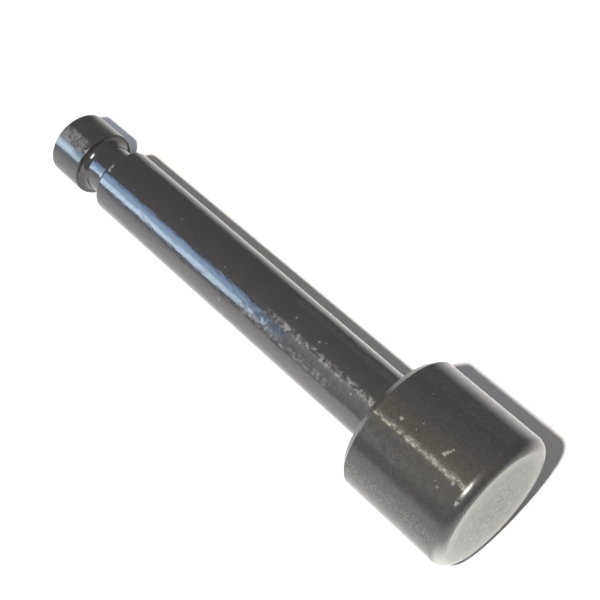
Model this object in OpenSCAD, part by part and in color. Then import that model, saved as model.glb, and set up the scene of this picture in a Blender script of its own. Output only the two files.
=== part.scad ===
// Headed steel pin: a round head, a long plain shank, a retaining groove near the tip and a collar
// of the shank's own diameter beyond it. The pin is one turned piece.
// The axis lies along X. The origin is on the axis, in the plane of the head's underside:
// the head runs to +X, and the shank, groove and collar run to -X.

/* [Shank] */
// Diameter of the shank and of the collar at the tip
shank_d = 12.7; // [8:0.1:16]
// Length of the plain shank, from the head's underside to the groove
shank_l = 71.5; // [20:0.5:200]
// Radius of the fillet where the shank meets the head
shoulder_fillet = 0.4; // [0.2:0.1:1]

/* [Head] */
// Diameter of the head
head_d = 25.4; // [24:0.1:60]
// Length of the head along the axis
head_l = 21.7; // [8:0.1:60]
// Radius of the rounded edge around the head's outer face
face_fillet = 1.9; // [0.2:0.1:3]
// Chamfer on the edge of the head's underside
rear_chamfer = 1.2; // [0.2:0.1:2]

/* [Groove] */
// Width of the retaining groove at the shank's surface
groove_w = 6.1; // [4:0.1:12]
// Depth of the groove below the shank's surface
groove_depth = 1.6; // [1.6:0.1:2.5]
// Radius in both bottom corners of the groove
root_r = 1.4; // [0.2:0.1:1.4]
// Chamfer on the two rims of the groove
rim_chamfer = 0.15; // [0.05:0.05:0.2]

/* [Collar] */
// Length of the collar, from the groove to the tip
collar_l = 7.8; // [3:0.1:20]
// Chamfer on the edge of the tip's end face
tip_chamfer = 0.4; // [0.1:0.1:1]

/* [Hidden] */
$fn = 128;
shank_r = shank_d / 2;
neck_r = shank_r - groove_depth;
head_r = head_d / 2;
groove_top = -shank_l;               // the groove's edge on the shank side
groove_foot = groove_top - groove_w; // its edge on the collar side
tip = groove_foot - collar_l;        // the end face of the tip
spare = 1;                           // how far a cutting shape reaches past what it cuts

// The profiles below are half sections: X is the radius, and Y is the distance along the axis.

// A corner at (r, y) taken off at 45 degrees. way is 1 where the metal is below y, and -1 where it is above.
module corner_cut(r, y, size, way) {
    translate([r, y]) scale([1, way])
        polygon([[-size, 0], [-size, spare], [spare, spare], [spare, -size], [0, -size]]);
}

// The metal left in an inside corner at (r, y), below the head's underside.
module inside_fillet(r, y, radius) {
    difference() {
        translate([r - spare, y - radius]) square([radius + spare, radius + spare]);
        translate([r + radius, y - radius]) circle(radius);
        translate([r + radius, y - radius - spare]) square([spare, radius + spare]);
    }
}

// A straight-sided groove with a round corner on each side of its flat bottom.
module groove_section() {
    translate([neck_r, groove_foot + root_r]) square([shank_r, groove_w - 2 * root_r]);
    translate([neck_r + root_r, groove_foot]) square([shank_r, groove_w]);
    for (y = [groove_foot + root_r, groove_top - root_r])
        translate([neck_r + root_r, y]) circle(root_r);
}

// From the tip's end face to the head's underside, and one spare length into the head.
module shank_section() {
    difference() {
        translate([0, tip]) square([shank_r, spare - tip]);
        groove_section();
        corner_cut(shank_r, tip, tip_chamfer, -1);
        corner_cut(shank_r, groove_foot, rim_chamfer, 1);
        corner_cut(shank_r, groove_top, rim_chamfer, -1);
    }
    inside_fillet(shank_r, 0, shoulder_fillet);
}

// From the underside at 0 to the flat outer face.
module head_section() {
    difference() {
        square([head_r, head_l - face_fillet]);
        corner_cut(head_r, 0, rear_chamfer, -1);
    }
    square([head_r - face_fillet, head_l]);
    translate([head_r - face_fillet, head_l - face_fillet])
        intersection() {
            circle(face_fillet);
            square(face_fillet);
        }
}

module headed_pin() {
    color([0.10, 0.10, 0.11])
        rotate([0, 90, 0])
            rotate_extrude() {
                shank_section();
                head_section();
            }
}

headed_pin();
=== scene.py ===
"""A headed, grooved steel pin in black oxide, lying on a white sheet under a small near lamp and a window.

The scene is in metres, in the CAD frame: the pin's axis is X, the head's underside is at X = 0, the head
runs to +X and the tip to -X. The finishes and the list of dents are given in millimetres. The pin rests on
the head's rear edge and on the collar, so the table is tilted about Y in this frame.
"""

import math
import random
from collections import namedtuple

import bpy
from mathutils import Matrix, Vector, noise


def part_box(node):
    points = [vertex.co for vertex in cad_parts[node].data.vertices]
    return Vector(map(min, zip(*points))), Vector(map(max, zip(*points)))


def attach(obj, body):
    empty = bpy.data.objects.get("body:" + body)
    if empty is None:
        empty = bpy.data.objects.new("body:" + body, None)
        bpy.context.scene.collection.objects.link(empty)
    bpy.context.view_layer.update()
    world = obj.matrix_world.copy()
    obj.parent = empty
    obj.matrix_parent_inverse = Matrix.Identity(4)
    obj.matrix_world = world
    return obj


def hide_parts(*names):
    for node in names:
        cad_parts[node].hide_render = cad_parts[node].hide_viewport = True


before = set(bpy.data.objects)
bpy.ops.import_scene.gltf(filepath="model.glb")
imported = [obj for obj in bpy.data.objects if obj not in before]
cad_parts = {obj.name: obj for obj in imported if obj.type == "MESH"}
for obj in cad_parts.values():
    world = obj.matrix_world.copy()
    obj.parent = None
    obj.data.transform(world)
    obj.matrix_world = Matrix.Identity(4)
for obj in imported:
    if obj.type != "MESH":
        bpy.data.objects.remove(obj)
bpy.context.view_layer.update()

MM = 0.001

# ---------------------------------------------------------------- the pin's sizes, as in the CAD model
cad_low, cad_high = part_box("headed_pin")
TIP = cad_low.x
FACE = cad_high.x
HEAD_R = round(cad_high.y / MM, 1) * MM  # the CAD mesh's facets fall just short of the true radius
SHANK_R = 6.35 * MM
COLLAR_L = 7.8 * MM
GROOVE_W = 6.1 * MM
NECK_R = 4.75 * MM
ROOT_R = 1.4 * MM
RIM_CHAMFER = 0.15 * MM
TIP_CHAMFER = 0.4 * MM
SHOULDER_FILLET = 0.4 * MM
REAR_CHAMFER = 1.2 * MM
FACE_FILLET = 1.9 * MM
GROOVE_FOOT = TIP + COLLAR_L
GROOVE_TOP = GROOVE_FOOT + GROOVE_W
BROKEN_EDGE = 0.08 * MM  # every machined corner is broken by this much

# The small pit that the facing tool leaves in the middle of the head's face, with a nub standing in it.
PIT_R = 0.55 * MM
PIT_FLOOR_R = 0.38 * MM
PIT_DEPTH = 0.12 * MM
NUB_FOOT_R = 0.28 * MM
NUB_TOP_R = 0.18 * MM
NUB_DROP = 0.02 * MM

# ---------------------------------------------------------------- how it lies
REST_SPAN = REAR_CHAMFER - (TIP + TIP_CHAMFER)
LIE = math.asin((HEAD_R - SHANK_R) / REST_SPAN)
TABLE = Matrix.Rotation(LIE, 4, "Y")
TABLE_DROP = HEAD_R * math.cos(LIE) - REAR_CHAMFER * math.sin(LIE)


def direction(azimuth, elevation):
    """A unit vector above the table: azimuth 0 is towards -Y and 90 towards +X, in degrees."""
    a, e = math.radians(azimuth), math.radians(elevation)
    flat = Vector((math.cos(e) * math.sin(a), -math.cos(e) * math.cos(a), math.sin(e)))
    return TABLE @ flat


def around(x, roll, radius):
    """A point at that radius from the pin's axis. Roll 0 is straight up and -90 towards -Y, in degrees."""
    r = math.radians(roll)
    return Vector((x, radius * math.sin(r), radius * math.cos(r)))


# ---------------------------------------------------------------- camera
CAMERA_AZIMUTH = 47.4
CAMERA_ELEVATION = 57.5
CAMERA_DISTANCE = 224.4 * MM
AIM = Vector((-28.24, 5.03, 0.24)) * MM
LENS = 78  # focal length in mm, on a frame SENSOR_WIDTH mm wide
SENSOR_WIDTH = 36
NEAREST_SEEN = 10 * MM


def make_camera():
    data = bpy.data.cameras.new("camera")
    data.lens = LENS
    data.sensor_width = SENSOR_WIDTH
    data.clip_start = NEAREST_SEEN
    camera = bpy.data.objects.new("camera", data)
    bpy.context.scene.collection.objects.link(camera)
    back = TABLE.inverted() @ direction(CAMERA_AZIMUTH, CAMERA_ELEVATION)
    turn = TABLE @ back.to_track_quat("Z", "Y").to_matrix().to_4x4()
    camera.matrix_world = Matrix.Translation(AIM + TABLE @ back * CAMERA_DISTANCE) @ turn
    bpy.context.scene.camera = camera


# ---------------------------------------------------------------- the turned outline
AXIS_SEGMENTS = 192
ARC_STEP = 0.16 * MM
STRAIGHT_STEP = 0.42 * MM
GUARD = 0.05 * MM  # how close to a corner a straight stretch has its first and last points


def arc(start, corner, end, radius):
    """The points of a round corner between two straight stretches of the outline."""
    to_start = (start - corner).normalized()
    to_end = (end - corner).normalized()
    half = to_start.angle(to_end) / 2
    reach = radius / math.tan(half)
    centre = corner + (to_start + to_end).normalized() * (radius / math.sin(half))
    first = corner + to_start * reach - centre
    sweep = first.angle_signed(corner + to_end * reach - centre)
    steps = max(3, round(radius * abs(sweep) / ARC_STEP))
    for i in range(steps + 1):
        turn = Matrix.Rotation(-sweep * i / steps, 2)
        yield centre + turn @ first


def stretch(start, end):
    """Points between two others, with one close to each end so that shading stays flat."""
    length = (end - start).length
    if length < 3 * GUARD:
        return
    yield start.lerp(end, GUARD / length)
    inner = max(1, round((length - 2 * GUARD) / STRAIGHT_STEP))
    for i in range(1, inner):
        yield start.lerp(end, (GUARD + (length - 2 * GUARD) * i / inner) / length)
    yield start.lerp(end, 1 - GUARD / length)


def outline():
    """The half section from the tip's centre to the face's centre, as (x, radius) points."""
    # Each corner: its x, its radius from the axis and the radius that rounds it.
    corners = [
        (TIP, 0, 0),
        (TIP, SHANK_R - TIP_CHAMFER, BROKEN_EDGE),
        (TIP + TIP_CHAMFER, SHANK_R, BROKEN_EDGE),
        (GROOVE_FOOT - RIM_CHAMFER, SHANK_R, BROKEN_EDGE),
        (GROOVE_FOOT, SHANK_R - RIM_CHAMFER, BROKEN_EDGE),
        (GROOVE_FOOT, NECK_R, ROOT_R),
        (GROOVE_TOP, NECK_R, ROOT_R),
        (GROOVE_TOP, SHANK_R - RIM_CHAMFER, BROKEN_EDGE),
        (GROOVE_TOP + RIM_CHAMFER, SHANK_R, BROKEN_EDGE),
        (0, SHANK_R, SHOULDER_FILLET),
        (0, HEAD_R - REAR_CHAMFER, 3 * BROKEN_EDGE),
        (REAR_CHAMFER, HEAD_R, 3 * BROKEN_EDGE),
        (FACE, HEAD_R, FACE_FILLET),
        (FACE, PIT_R, 0.08 * MM),
        (FACE - PIT_DEPTH, PIT_FLOOR_R, 0.05 * MM),
        (FACE - PIT_DEPTH, NUB_FOOT_R, 0.03 * MM),
        (FACE - NUB_DROP, NUB_TOP_R, 0.03 * MM),
        (FACE - NUB_DROP, 0, 0),
    ]
    spots = [Vector(c[:2]) for c in corners]
    points = [spots[0]]
    for i in range(1, len(corners)):
        bend = []
        if i < len(corners) - 1:
            bend = list(arc(spots[i - 1], spots[i], spots[i + 1], corners[i][2]))
        end = bend[0] if bend else spots[i]
        points += stretch(points[-1], end)
        points += bend or [end]
    return points


# ---------------------------------------------------------------- wear in the surface
# Each dent: its place along the axis in mm, its roll in degrees, its radius and its depth in mm.
NOTED_DENTS = [
    (-71.4, -17, 0.80, 0.20),
    (-70.9, -24, 0.40, 0.10),
    (-78.0, -27, 0.40, 0.09),
    (2.0, -29, 0.40, 0.05),
    (20.2, -38, 0.45, 0.08),
]
RANDOM_DENTS = 46
WAVE_DEPTH = 0.008 * MM
WAVE_SIZE = 5 * MM
BARING_DEPTH = 0.10 * MM  # a dent as deep as this has lost its oxide in the middle


def dents():
    """All the dents, each as (direction from the axis, x, radius, depth), with lengths in metres."""
    rng = random.Random(7)
    found = list(NOTED_DENTS)
    for _ in range(RANDOM_DENTS):
        on_head = rng.random() < 0.5
        # on the head: near its rear edge, on its rounded edge or somewhere between
        x = rng.choice([1.0, 20.5, rng.uniform(2, 19)]) if on_head else rng.uniform(-84, -2)
        size = rng.uniform(0.3, 0.75)
        found.append((x, rng.uniform(-180, 180), size, size * rng.uniform(0.02, 0.06)))
    return [(around(x * MM, roll, 1), x * MM, size * MM, deep * MM) for x, roll, size, deep in found]


def worn(x, radius, roll, marks):
    """The radius with its slight waviness and its dents taken off, and how bare a dent has left it."""
    spot = around(x, roll, radius)
    wave = noise.noise(spot / WAVE_SIZE) * 0.5 + 0.5
    loss = WAVE_DEPTH * wave
    bare = 0
    for pointer, mark_x, size, deep in marks:
        side = (spot - Vector((x, pointer.y * radius, pointer.z * radius))).length
        reach = math.hypot(x - mark_x, side) / size
        if reach < 1:
            loss += deep * (1 - reach * reach) ** 2
            bare = max(bare, (1 - reach) * min(1, deep / BARING_DEPTH))
    return radius - loss, bare


def make_pin():
    """The outline turned about X as one closed mesh, with its wear and a "bare" attribute on its points."""
    points = outline()
    marks = dents()
    rings = points[1:-1]
    verts = [(points[0].x, 0, 0)]
    bareness = [0.0]
    for x, radius in rings:
        near = [m for m in marks if abs(m[1] - x) < m[2]]
        # the pit and the middle of both end faces keep their exact outline
        wears = radius > NECK_R * 0.9
        for k in range(AXIS_SEGMENTS):
            roll = 360 * k / AXIS_SEGMENTS
            worn_radius, bare = worn(x, radius, roll, near) if wears else (radius, 0.0)
            verts.append(around(x, roll, worn_radius))
            bareness.append(bare)
    verts.append((points[-1].x, 0, 0))
    bareness.append(0.0)
    last = len(verts) - 1
    faces = []
    for k in range(AXIS_SEGMENTS):
        after = (k + 1) % AXIS_SEGMENTS
        faces.append((0, 1 + k, 1 + after))
        for i in range(len(rings) - 1):
            low, high = 1 + i * AXIS_SEGMENTS, 1 + (i + 1) * AXIS_SEGMENTS
            faces.append((low + k, high + k, high + after, low + after))
        edge = 1 + (len(rings) - 1) * AXIS_SEGMENTS
        faces.append((last, edge + after, edge + k))
    mesh = bpy.data.meshes.new("turned_pin")
    mesh.from_pydata(verts, [], faces)
    mesh.update()
    mesh.shade_smooth()
    mesh.attributes.new("bare", "FLOAT", "POINT").data.foreach_set("value", bareness)
    pin = bpy.data.objects.new("turned_pin", mesh)
    bpy.context.scene.collection.objects.link(pin)
    return pin


def pick_materials(pin, finishes):
    """Gives each face of the pin the finish of the region that its middle lies in."""
    for finish in finishes.values():
        pin.data.materials.append(finish)
    slots = {name: i for i, name in enumerate(finishes)}
    face_edge = HEAD_R - FACE_FILLET
    for polygon in pin.data.polygons:
        middle = polygon.center
        radius = math.hypot(middle.y, middle.z)
        if middle.x < GROOVE_FOOT:
            region = "collar"
        elif middle.x < 0 and radius < SHANK_R + SHOULDER_FILLET:
            region = "shank"
        elif middle.x > FACE - 0.5 * MM and radius < face_edge:
            region = "face"
        elif middle.x > FACE - FACE_FILLET:
            region = "head_rim"
        else:
            region = "head"
        polygon.material_index = slots[region]


# ---------------------------------------------------------------- shader helpers
def new_material(name):
    material = bpy.data.materials.new(name)
    material.use_nodes = True
    material.node_tree.nodes.clear()
    return material, material.node_tree


def node(tree, kind, inputs=None, **settings):
    """Adds a shader node. inputs maps a socket's name or number to a value or to another socket."""
    made = tree.nodes.new("ShaderNode" + kind)
    for key, value in settings.items():
        setattr(made, key, value)
    for key, value in (inputs or {}).items():
        if isinstance(value, bpy.types.NodeSocket):
            tree.links.new(value, made.inputs[key])
        else:
            made.inputs[key].default_value = value
    return made


def math_node(tree, operation, *values):
    return node(tree, "Math", dict(enumerate(values)), operation=operation).outputs[0]


def multiply(tree, a, b):
    return math_node(tree, "MULTIPLY", a, b)


def maximum(tree, a, b):
    return math_node(tree, "MAXIMUM", a, b)


def multiply_add(tree, a, b, added):
    return math_node(tree, "MULTIPLY_ADD", a, b, added)


def blend_colour(tree, factor, a, b):
    """Colour a where the factor is 0 and colour b where it is 1."""
    inputs = {0: factor, 6: a, 7: b}
    return node(tree, "Mix", inputs, data_type="RGBA").outputs[2]


def fade(tree, value, low, high, out_low=0.0, out_high=1.0):
    """value from low to high becomes out_low to out_high, smoothly, and stays there beyond."""
    inputs = {"Value": value, "From Min": low, "From Max": high, "To Min": out_low, "To Max": out_high}
    return node(tree, "MapRange", inputs, interpolation_type="SMOOTHSTEP").outputs["Result"]


def stripe(tree, value, middle, half, soft):
    """1 where value is within half of the middle, falling to 0 over soft more."""
    off = math_node(tree, "ABSOLUTE", math_node(tree, "SUBTRACT", value, middle))
    return fade(tree, off, half, half + soft, 1, 0)


def place_mm(tree, scale=(1, 1, 1)):
    """Object coordinates in millimetres, stretched by scale."""
    spot = node(tree, "TexCoord").outputs["Object"]
    factors = tuple(s / MM for s in scale)
    return node(tree, "VectorMath", {0: spot, 1: factors}, operation="MULTIPLY").outputs[0]


def distance(tree, spot, where):
    return node(tree, "VectorMath", {0: spot, 1: where}, operation="DISTANCE").outputs["Value"]


def grain(tree, spot, per_mm, detail=3.0, roughness=0.55):
    """Noise from about 0.3 to 0.7, with that many waves in a millimetre."""
    inputs = {"Vector": spot, "Scale": per_mm, "Detail": detail, "Roughness": roughness}
    return node(tree, "TexNoise", inputs).outputs["Fac"]


def ragged(tree, spot, amount):
    """The point moved about a little, so that round shapes get ragged edges."""
    moved = node(tree, "TexNoise", {"Vector": spot, "Scale": 2.5, "Detail": 2.0}).outputs["Color"]
    centred = node(tree, "VectorMath", {0: moved, 1: (0.5, 0.5, 0.5)}, operation="SUBTRACT").outputs[0]
    inputs = {0: centred, 1: (amount, amount, amount), 2: spot}
    return node(tree, "VectorMath", inputs, operation="MULTIPLY_ADD").outputs[0]


def bump(tree, height, depth_mm, normal=None):
    """The normal of a height map that deep, on top of another normal if one is given."""
    inputs = {"Height": height, "Strength": 1.0, "Distance": depth_mm * MM}
    if normal is not None:
        inputs["Normal"] = normal
    return node(tree, "Bump", inputs).outputs["Normal"]


# ---------------------------------------------------------------- black oxide and what lies on it
BARE_STEEL = (0.16, 0.155, 0.145, 1)
# partly old oil and partly a painted warm halo around the lamp's highlight line
OLD_OIL_AND_HALO = (0.043, 0.035, 0.022, 1)
# a painted reflection of the lit paper, pale on the low end of the head's rounded edge
PAPER_REFLECTION_COLOUR = (0.41, 0.42, 0.41, 1)

# Rolls about the pin's axis, in degrees.
LAMP_ROLL = -27  # the line along the pin that mirrors the lamp
LOW_ROLL = -118  # the middle of the low side, paler with dust and with painted light from the paper below
PAPER_REFLECTION_ROLL = -125  # the middle of the painted reflection of the paper on the low part of the head's rounded edge
BACK_ROLL = 62  # the middle of the oily strip on the side away from the window

# Shares of a finish's own amount, away from the side where it is greatest.
THIN_POWDER_AND_PAPER_LIGHT = 0.15
THIN_OIL = 0.45

DRY_ROUGHNESS = 0.40  # how much rougher a patch is where all its oil has gone
CRUST_ROW_DRYNESS = 0.35  # how much of the film a row of crust has lost
SPECK_DUST = 0.3  # how strongly the scattered specks show
HAIRLINE_DUST = 0.25  # how strongly a hairline shows
OIL_IOR = 1.5

# A dull area of the side: its middle and half length along the axis in mm, the roll of its middle and its
# half width in degrees, its least and most dust, and the share of the oil that has gone. A pale patch laid
# along a reflection is a painted highlight.
Patch = namedtuple("Patch", "x half_length roll half_width least most dry")
# A row of crusty dust where the oil has dried, laid along a highlight line so that its pale crust is partly
# a painted highlight. soft is how many degrees it fades over.
CrustAndSheen = namedtuple("CrustAndSheen", "x half_length roll half_width soft most")
# A scratch along a circle about a point on the head, from one X to another, all in mm.
Hairline = namedtuple("Hairline", "centre radius width x_from x_to")


class Place:
    """The point of the pin that is being shaded, and the noises that several layers share there."""

    def __init__(self, tree):
        self.spot = place_mm(tree)
        parts = node(tree, "SeparateXYZ", {0: self.spot}).outputs
        self.along = parts["X"]
        self.roll = multiply(tree, math_node(tree, "ARCTAN2", parts["Y"], parts["Z"]), 180 / math.pi)
        self.blotches = grain(tree, self.spot, per_mm=0.9, detail=4.0, roughness=0.65)
        self.crumbs = grain(tree, self.spot, per_mm=1.0, detail=5.0, roughness=0.72)
        self.fine = grain(tree, self.spot, per_mm=3.2, detail=3.0, roughness=0.6)


def zone(tree, here, area, x_soft, roll_soft):
    """1 inside a patch or a row of scuffs, falling to 0 outside it."""
    return multiply(tree, stripe(tree, here.along, area.x, area.half_length, x_soft),
                    stripe(tree, here.roll, area.roll, area.half_width, roll_soft))


def specks(tree, spot, per_mm, share, size):
    """Small ragged dots: 1 on a dot and 0 elsewhere. share is the share of the cells that hold one."""
    inputs = {"Vector": ragged(tree, spot, 0.7), "Scale": per_mm, "Randomness": 1.0}
    cells = node(tree, "TexVoronoi", inputs).outputs
    drawn = node(tree, "SeparateXYZ", {0: cells["Color"]}).outputs["X"]
    near = fade(tree, cells["Distance"], size * 0.4, size, 1, 0)
    return multiply(tree, near, fade(tree, drawn, 1 - share, 1.02 - share))


def dots(tree, spot, places, radius):
    """Ragged dots on a cylinder, each given as (x in mm, roll in degrees, size in mm, strength)."""
    moved = ragged(tree, spot, 0.5)
    found = 0.0
    for x, roll, size, strength in places:
        away = distance(tree, moved, around(x, roll, radius / MM))
        found = maximum(tree, found, fade(tree, away, size * 0.5, size, strength, 0))
    return found


def scratch(tree, here, line):
    """1 along the middle of a hairline, falling to 0 beside it and towards its ends."""
    away = distance(tree, here.spot, line.centre)
    middle = (line.x_from + line.x_to) / 2
    half = (line.x_to - line.x_from) / 2
    return multiply(tree, stripe(tree, away, line.radius, half=0, soft=line.width),
                    stripe(tree, here.along, middle, half=half * 0.6, soft=half * 0.4))


def mottled_tint(tree, here, dark, brown, stain_and_halo):
    """The oxide's own colour, with a brown streak along the side under the lamp that is partly old oil and
    partly a painted warm halo around the lamp's highlight line.
    """
    mottling = grain(tree, here.spot, per_mm=0.28, detail=5.0, roughness=0.6)
    tint = blend_colour(tree, fade(tree, mottling, 0.42, 0.66), dark, brown)
    if not stain_and_halo:
        return tint
    # painted halo: the brown streak follows the lamp's highlight line, so it is partly a painted warm sheen
    # as well as old oil
    streak = multiply(tree, stripe(tree, here.roll, LAMP_ROLL - 3, half=6, soft=22),
                      fade(tree, here.blotches, 0.35, 0.58, 0.45 * stain_and_halo, stain_and_halo))
    return blend_colour(tree, streak, tint, OLD_OIL_AND_HALO)


def dust_and_paper_light(tree, here, powder_and_paper_light):
    """Fine dust, thickest and palest on the low side, where the paleness is also painted light from the
    paper below, and a few specks.
    """
    grains = grain(tree, here.spot, per_mm=3.4, detail=5.0, roughness=0.75)
    # the low side is made paler: dust, and painted light reflected from the paper below
    low_side = stripe(tree, here.roll, LOW_ROLL, half=35, soft=27)
    pale_low_side = multiply(tree, fade(tree, low_side, 0, 1, THIN_POWDER_AND_PAPER_LIGHT * powder_and_paper_light, powder_and_paper_light),
                       fade(tree, here.blotches, 0.36, 0.56, 0.55, 1.1))
    dust_and_painted_light = multiply(tree, fade(tree, grains, 0.46, 0.60), pale_low_side)
    dots_of_dirt = specks(tree, here.spot, per_mm=0.55, share=0.2, size=0.09)
    return maximum(tree, dust_and_painted_light, multiply(tree, dots_of_dirt, SPECK_DUST))


def oil_film(tree, here, oil, back_oil):
    """How much of the glossy film is left: most of it under the lamp and on the back."""
    lit = stripe(tree, here.roll, LAMP_ROLL, half=36, soft=27)
    back = stripe(tree, here.roll, BACK_ROLL, half=14, soft=24)
    return maximum(tree, fade(tree, lit, 0, 1, THIN_OIL * oil, oil), fade(tree, back, 0, 1, 0, back_oil))


def add_paper_reflection(tree, here, colour, paper_reflection):
    """The colour with a painted reflection of the lit paper, pale on the low part of the head's rounded
    edge.
    """
    reflection_mask = multiply(tree, stripe(tree, here.roll, PAPER_REFLECTION_ROLL, half=20, soft=40),
                     fade(tree, here.along, 19.9, 21.2, 0.0, paper_reflection))
    return blend_colour(tree, reflection_mask, colour, PAPER_REFLECTION_COLOUR)


def bared(tree, here, colour):
    """The colour with bright steel where a dent has broken the oxide."""
    bare = node(tree, "Attribute", attribute_name="bare").outputs["Fac"]
    broken = multiply(tree, bare, fade(tree, here.fine, 0.3, 0.55, 0.6, 2.2))
    return blend_colour(tree, fade(tree, broken, 0.30, 0.55), colour, BARE_STEEL)


def black_oxide(name, dark, brown, haze, roughness, anisotropy, ripple, streaks, oil, oil_roughness,
                back_oil=0.6, ior=1.5, powder_and_paper_light=0.1, paper_reflection=0.0, stain_and_halo=0.0, patches=(), crusts_and_sheen=(),
                places=(), radius=SHANK_R, hairlines=()):
    """Black oxide over turned steel, under a thin film of oil.

    dark and brown are the two tints of the mottling, and haze the colour of dust and dried oil, which also
    paints the pale marks that stand in for light. ripple and streaks are the depths in mm of the surface's
    waviness and of its finer lines along the axis. oil is how much of the glossy film is left, and back_oil
    the same on the side away from the window. powder_and_paper_light is how much fine dust lies on it, most
    on the low side, which is made paler as painted light from the paper below. paper_reflection is how
    strongly a painted reflection of the lit paper pales the low edge, and stain_and_halo how brown a streak
    is along the side under the lamp, partly old oil and partly a painted warm halo of the lamp's highlight.
    patches, crusts_and_sheen and hairlines are lists of
    Patch, CrustAndSheen and Hairline; some patches and the rows of crust are partly painted highlights.
    places are single specks, as dots() takes them, on a cylinder of that radius.
    """
    material, tree = new_material(name)
    here = Place(tree)
    # the haze colour is laid by dust and also by painted light: the paler low side, pale stripes along
    # reflections and rows of crust along highlight lines
    dust_and_painted_light = dust_and_paper_light(tree, here, powder_and_paper_light)
    if places:
        dust_and_painted_light = maximum(tree, dust_and_painted_light, dots(tree, here.spot, places, radius))
    rough = fade(tree, here.blotches, 0.3, 0.7, roughness - 0.03, roughness + 0.04)
    film = oil_film(tree, here, oil, back_oil)
    for patch in patches:
        dull = zone(tree, here, patch, x_soft=2, roll_soft=7)
        film = multiply_add(tree, dull, -patch.dry * oil, film)
        rough = multiply_add(tree, dull, DRY_ROUGHNESS * patch.dry, rough)
        # pale in a patch: dust, and where the patch lies along a reflection, a painted highlight
        patch_paleness = fade(tree, here.crumbs, 0.40, 0.60, patch.least, patch.most)
        dust_and_painted_light = maximum(tree, dust_and_painted_light, multiply(tree, dull, patch_paleness))
    # rows of crust along highlight lines: their pale crust is partly a painted highlight
    for crust_row in crusts_and_sheen:
        row = zone(tree, here, crust_row, x_soft=6, roll_soft=crust_row.soft)
        film = multiply_add(tree, row, -CRUST_ROW_DRYNESS, film)
        crust_and_sheen = multiply(tree, row, fade(tree, here.crumbs, 0.43, 0.62, 0.08, crust_row.most))
        crust_and_sheen = multiply(tree, crust_and_sheen, fade(tree, here.blotches, 0.42, 0.55, 0.25, 1.0))
        dust_and_painted_light = maximum(tree, dust_and_painted_light, crust_and_sheen)
    for line in hairlines:
        dust_and_painted_light = maximum(tree, dust_and_painted_light, multiply(tree, scratch(tree, here, line), HAIRLINE_DUST))
    colour = blend_colour(tree, dust_and_painted_light, mottled_tint(tree, here, dark, brown, stain_and_halo), haze)
    # painted reflection of the lit paper on the low end of the head's rounded edge
    if paper_reflection:
        colour = add_paper_reflection(tree, here, colour, paper_reflection)

    # the oil follows the waviness but fills the turning marks and the finest grain
    waves = grain(tree, place_mm(tree, (0.35, 1, 1)), per_mm=0.75, detail=2.5)
    lines = grain(tree, place_mm(tree, (0.22, 1, 1)), per_mm=2.2, detail=2.0)
    turning_marks = grain(tree, place_mm(tree, (9, 0.35, 0.35)), per_mm=1.0, detail=4.0)
    oil_surface = bump(tree, lines, streaks, bump(tree, waves, ripple))
    steel_surface = bump(tree, here.fine, 0.012, bump(tree, turning_marks, 0.006, oil_surface))
    shader = node(tree, "BsdfPrincipled", {
        "Base Color": bared(tree, here, colour),
        "Roughness": rough,
        "IOR": ior,
        "Anisotropic": anisotropy,
        "Anisotropic Rotation": 0.25,
        "Tangent": node(tree, "Tangent", direction_type="RADIAL", axis="X").outputs[0],
        "Coat Weight": maximum(tree, film, 0.0),
        "Coat Roughness": oil_roughness,
        "Coat IOR": OIL_IOR,
        "Normal": steel_surface,
        "Coat Normal": oil_surface,
    })
    node(tree, "OutputMaterial", {"Surface": shader.outputs[0]})
    return material


# ---------------------------------------------------------------- the pin's finishes
def shank_finish():
    """The shank and the groove: glossy oil, dried up towards the head between two rows of crust that lie
    along highlight lines and are partly painted highlights.
    """
    return black_oxide(
        "shank_oxide", dark=(0.0252, 0.0238, 0.0266, 1), brown=(0.0280, 0.0258, 0.0265, 1),
        haze=(0.149, 0.146, 0.142, 1), roughness=0.20, anisotropy=0.5, ripple=0.055, streaks=0.024,
        oil=0.9, oil_roughness=0.05, powder_and_paper_light=0.14,
        crusts_and_sheen=[
            # the rows lie along the lamp's line and the window's pale band, so their crust is partly a
            # painted highlight
            CrustAndSheen(x=-13, half_length=11, roll=LAMP_ROLL + 0.5, half_width=2.5, soft=6, most=1.2),
            CrustAndSheen(x=-21, half_length=9, roll=-50, half_width=3, soft=5, most=0.9),
        ],
        patches=[
            Patch(x=-9, half_length=12, roll=-43, half_width=10, least=0.00, most=0.11, dry=0.9),
            # a faint pale stripe along the far side, which makes that side lighter
            Patch(x=-12, half_length=12, roll=22, half_width=3, least=0.06, most=0.14, dry=0.0),
        ],
        places=[
            (-52.3, -6, 0.20, 0.5),
            (-64.0, -22, 0.20, 0.5),
            (-16.4, -10, 0.30, 0.7),
            (-15.4, -5, 0.22, 0.6),
            (-22.6, -5, 0.28, 0.6),
            (-22.8, -27, 0.30, 0.8),
            (-39.1, -19, 0.20, 0.5),
        ])


def collar_finish():
    """The collar and the tip's end: less oil, with a dusty patch on top and a painted highlight, a pale
    stripe along the window's reflection near the tip.
    """
    return black_oxide(
        "collar_oxide", dark=(0.026, 0.026, 0.026, 1), brown=(0.040, 0.038, 0.032, 1),
        haze=(0.203, 0.197, 0.197, 1), roughness=0.30, anisotropy=0.3, ripple=0.03, streaks=0.010,
        oil=0.75, oil_roughness=0.09, powder_and_paper_light=0.04,
        patches=[
            Patch(x=-82.0, half_length=2.4, roll=-23, half_width=9, least=0.10, most=0.60, dry=0.8),
            # painted highlight: a pale stripe along the window's reflection near the tip, which whitens it
            Patch(x=-83.4, half_length=2.4, roll=-40, half_width=1, least=0.60, most=0.95, dry=0.0),
        ])


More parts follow.
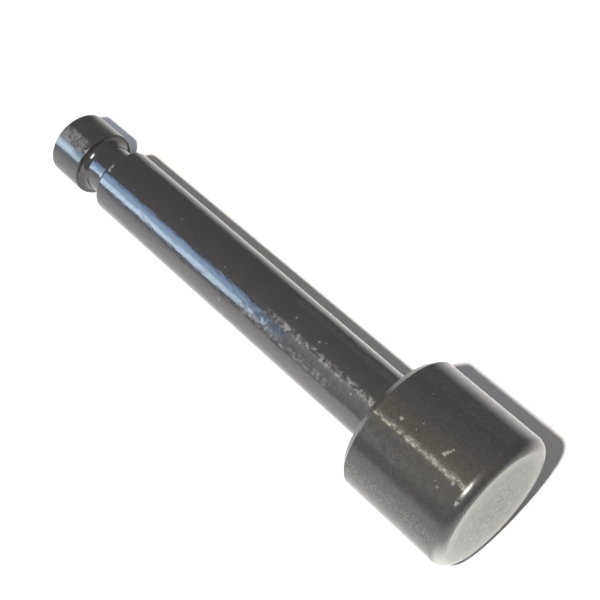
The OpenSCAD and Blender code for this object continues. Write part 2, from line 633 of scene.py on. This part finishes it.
# What the head's side and its rounded edge have in common.
HEAD_LOOK = dict(
    dark=(0.0253, 0.0247, 0.0283, 1), brown=(0.0282, 0.0262, 0.0268, 1), haze=(0.152, 0.153, 0.134, 1),
    ripple=0.018, streaks=0.003, back_oil=1.0, ior=1.48, powder_and_paper_light=0.62, radius=HEAD_R)


def head_finish():
    """The head's side and underside: nearly dry, with a brown streak along the lamp's line that is partly
    oil stain and partly a painted warm halo, and a crusty line under the lamp that is partly a painted
    highlight.
    """
    return black_oxide(
        "head_oxide", roughness=0.15, anisotropy=1.0, oil=0.20, oil_roughness=0.40, stain_and_halo=0.55,
        crusts_and_sheen=[
            # along the lamp's line, so this crusty row is partly a painted highlight that makes the line
            # bright and crisp
            CrustAndSheen(x=9, half_length=10, roll=LAMP_ROLL - 0.7, half_width=0.4, soft=1.0, most=1.6),
        ],
        patches=[
            # a faint pale stripe along the far side, which makes that side lighter
            Patch(x=11, half_length=14, roll=28, half_width=8, least=0.04, most=0.12, dry=0.0),
        ],
        places=[
            (5.8, 10, 0.20, 0.4),
            (12.4, 19, 0.20, 0.4),
            (8.5, -12, 0.24, 0.45),
            (8.3, -18, 0.20, 0.4),
            (2.7, -27, 0.30, 0.6),
            (5.1, -26, 0.25, 0.5),
            # a chip on the head, painted as a row of bright pale dots that also stand in for the glint off
            # it
            (14.1, -18, 0.50, 1.0),
            (14.3, -16, 0.38, 1.0),
            (14.5, -14, 0.28, 0.9),
            (14.7, -12, 0.20, 0.8),
            (18.0, -29, 0.42, 0.9),
            (16.4, -38, 0.25, 0.6),
        ],
        hairlines=[
            Hairline(centre=(8.2, -7.2, 9.4), radius=1.9, width=0.09, x_from=6.8, x_to=9.9),
            Hairline(centre=(9.6, -8.6, 8.7), radius=1.6, width=0.08, x_from=7.6, x_to=9.4),
        ],
        **HEAD_LOOK)


def head_rim_finish():
    """The head's rounded edge: as its side but rougher and oilier, with a painted reflection of the lit
    paper making its low end pale.
    """
    return black_oxide(
        "head_rim_oxide", roughness=0.32, anisotropy=0.3, oil=0.45, oil_roughness=0.20, paper_reflection=1.0,
        **HEAD_LOOK)


# the face's grey is partly its own and partly a painted reflection of the lit paper in front of it
FACE_GREY = (0.248, 0.272, 0.250, 1)
# painted shade: the middle of the face, where it mirrors less of the lit paper
FACE_SHADED_MIDDLE = (0.166, 0.188, 0.168, 1)
FACE_PALE = (0.380, 0.410, 0.386, 1)
FACE_RINGS = (0.18, 0.20, 0.185, 1)
# painted reflection of the lit paper along the face's rim
FACE_RIM_REFLECTION = (0.42, 0.43, 0.42, 1)


def face_finish():
    """The head's outer face: a matte grey disc with fine facing rings, with a painted reflection of the lit
    paper that makes it darker towards its middle and paler towards its rim.
    """
    material, tree = new_material("face_grain_and_reflection")
    spot = place_mm(tree)
    parts = node(tree, "SeparateXYZ", {0: spot}).outputs
    flat = node(tree, "CombineXYZ", {"Y": parts["Y"], "Z": parts["Z"]}).outputs[0]
    radius = node(tree, "VectorMath", {0: flat}, operation="LENGTH").outputs["Value"]
    outwards = node(tree, "CombineXYZ", {"X": radius}).outputs[0]
    rings = grain(tree, outwards, per_mm=2.6, detail=4.0, roughness=0.7)
    mottling = grain(tree, spot, per_mm=0.8, detail=5.0, roughness=0.65)
    fine = grain(tree, spot, per_mm=1.5, detail=5.0, roughness=0.8)
    # the mottling is about 0.5, so the painted dark middle ends 1.5 to 8 mm from the axis, with a ragged
    # edge
    ragged_radius = multiply_add(tree, mottling, 9.0, radius)
    colour = blend_colour(tree, fade(tree, ragged_radius, 6.0, 12.5, 1, 0), FACE_GREY, FACE_SHADED_MIDDLE)
    colour = blend_colour(tree, fade(tree, fine, 0.44, 0.58, 0, 0.8), colour, FACE_PALE)
    colour = blend_colour(tree, fade(tree, rings, 0.42, 0.6, 0, 0.3), colour, FACE_RINGS)
    # painted reflection: the face paler towards its rim
    colour = blend_colour(tree, fade(tree, radius, 7.6, 10.6, 0, 0.9), colour, FACE_RIM_REFLECTION)
    shader = node(tree, "BsdfPrincipled", {
        "Base Color": colour,
        "Roughness": fade(tree, mottling, 0.3, 0.7, 0.36, 0.5),
        "IOR": 1.6,
        "Normal": bump(tree, rings, 0.012, bump(tree, fine, 0.05)),
    })
    node(tree, "OutputMaterial", {"Surface": shader.outputs[0]})
    return material


# ---------------------------------------------------------------- the stage
PAPER = (0.86, 0.855, 0.88, 1)
FLOOR_R = 0.40
FLOOR_SEGMENTS = 96
# The paper glows a little to the camera alone, from GLOW_FROM to its full strength at GLOW_FULL from its
# middle, so that it looks as white far from the lamp as near it. GLOW_SHAPE makes that an oval.
GLOW_STRENGTH = 0.85
GLOW_FROM = 0.055
GLOW_FULL = 0.115
GLOW_SHAPE = (0.8, 1.25, 1)

LAMP_AZIMUTH = 18.4
LAMP_ELEVATION = 59.9
LAMP_DISTANCE = 240 * MM
LAMP_TARGET = Vector((-30, 0, 0)) * MM
LAMP_SIZE = 10 * MM
LAMP_COLOUR = (1.0, 0.96, 0.88)
LAMP_POWER = 1.02

WINDOW_DISTANCE = 700 * MM
WINDOW_MIDDLE = -562 * MM
WINDOW_WIDTH = 0.315
# Each band of the window: its roll about the pin's axis, its height, its colour and its power.
WINDOW_BANDS = {
    "zenith": (-41.7, 0.098, (0.34, 0.58, 1.0), 0.36),
    "sky": (-53.5, 0.194, (0.41, 0.66, 1.0), 1.03),
    "haze": (-69.2, 0.194, (0.62, 0.79, 1.0), 1.75),
    "ground": (-84.5, 0.182, (0.74, 0.85, 1.0), 0.08),
}
ROOM_LIGHT = (0.245, 0.237, 0.232, 1)
BACKDROP = (1.15, 1.15, 1.15, 1)


def seen_by_camera(tree):
    """1 for what the camera sees directly, and 0 for reflections and for the light that things cast."""
    return node(tree, "LightPath").outputs["Is Camera Ray"]


def paper_material():
    material, tree = new_material("paper")
    spot = node(tree, "TexCoord").outputs["Object"]
    squeezed = node(tree, "VectorMath", {0: spot, 1: GLOW_SHAPE}, operation="MULTIPLY").outputs[0]
    radius = node(tree, "VectorMath", {0: squeezed}, operation="LENGTH").outputs["Value"]
    glow = fade(tree, radius, GLOW_FROM, GLOW_FULL, 0.0, GLOW_STRENGTH)
    shader = node(tree, "BsdfPrincipled", {
        "Base Color": PAPER,
        "Roughness": 1.0,
        "Specular IOR Level": 0.0,
        "Emission Color": (1, 1, 1, 1),
        "Emission Strength": multiply(tree, seen_by_camera(tree), glow),
    })
    node(tree, "OutputMaterial", {"Surface": shader.outputs[0]})
    return material


def make_floor():
    """A round sheet of paper on the table, under the middle of the pin."""
    mesh = bpy.data.meshes.new("floor")
    angles = [2 * math.pi * k / FLOOR_SEGMENTS for k in range(FLOOR_SEGMENTS)]
    rim = [(FLOOR_R * math.cos(a), FLOOR_R * math.sin(a), 0) for a in angles]
    mesh.from_pydata(rim, [], [tuple(range(FLOOR_SEGMENTS))])
    mesh.update()
    floor = bpy.data.objects.new("floor", mesh)
    bpy.context.scene.collection.objects.link(floor)
    half_way = (TIP + FACE) / 2
    middle = Vector((half_way, 0, -TABLE_DROP / math.cos(LIE) - half_way * math.tan(LIE)))
    floor.matrix_world = Matrix.Translation(middle) @ TABLE
    mesh.materials.append(paper_material())


def area_light(name, where, towards, size_x, size_y, colour, power, shape="RECTANGLE"):
    """A panel facing `towards`, with its local X as near to the pin's axis as that allows."""
    data = bpy.data.lights.new(name, "AREA")
    data.shape = shape
    data.size = size_x
    data.size_y = size_y
    data.color = colour
    data.energy = power
    light = bpy.data.objects.new(name, data)
    bpy.context.scene.collection.objects.link(light)
    back = (where - towards).normalized()
    side = (Vector((1, 0, 0)) - back * back.x).normalized()
    turn = Matrix((side, back.cross(side), back)).transposed().to_4x4()
    light.matrix_world = Matrix.Translation(where) @ turn
    light.visible_camera = False


def make_lights():
    lamp = direction(LAMP_AZIMUTH, LAMP_ELEVATION) * LAMP_DISTANCE
    area_light("lamp", lamp, LAMP_TARGET, LAMP_SIZE, LAMP_SIZE, LAMP_COLOUR, LAMP_POWER, shape="DISK")
    for name, (roll, height, colour, power) in WINDOW_BANDS.items():
        where = around(WINDOW_MIDDLE, roll, WINDOW_DISTANCE)
        area_light(name, where, Vector((WINDOW_MIDDLE, 0, 0)), WINDOW_WIDTH, height, colour, power)


def make_world():
    """Dim room light, and a white backdrop that only the camera sees."""
    world = bpy.data.worlds.new("world")
    bpy.context.scene.world = world
    world.use_nodes = True
    tree = world.node_tree
    tree.nodes.clear()
    colour = blend_colour(tree, seen_by_camera(tree), ROOM_LIGHT, BACKDROP)
    back = node(tree, "Background", {"Color": colour})
    node(tree, "OutputWorld", {"Surface": back.outputs[0]})


def set_view():
    """Plain colours, with no film look."""
    view = bpy.context.scene.view_settings
    view.view_transform = "Standard"
    view.look = "None"


make_camera()
pin = make_pin()
pick_materials(pin, {
    "shank": shank_finish(),
    "collar": collar_finish(),
    "head": head_finish(),
    "head_rim": head_rim_finish(),
    "face": face_finish(),
})
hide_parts("headed_pin")
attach(pin, "root")
make_floor()
make_lights()
make_world()
set_view()
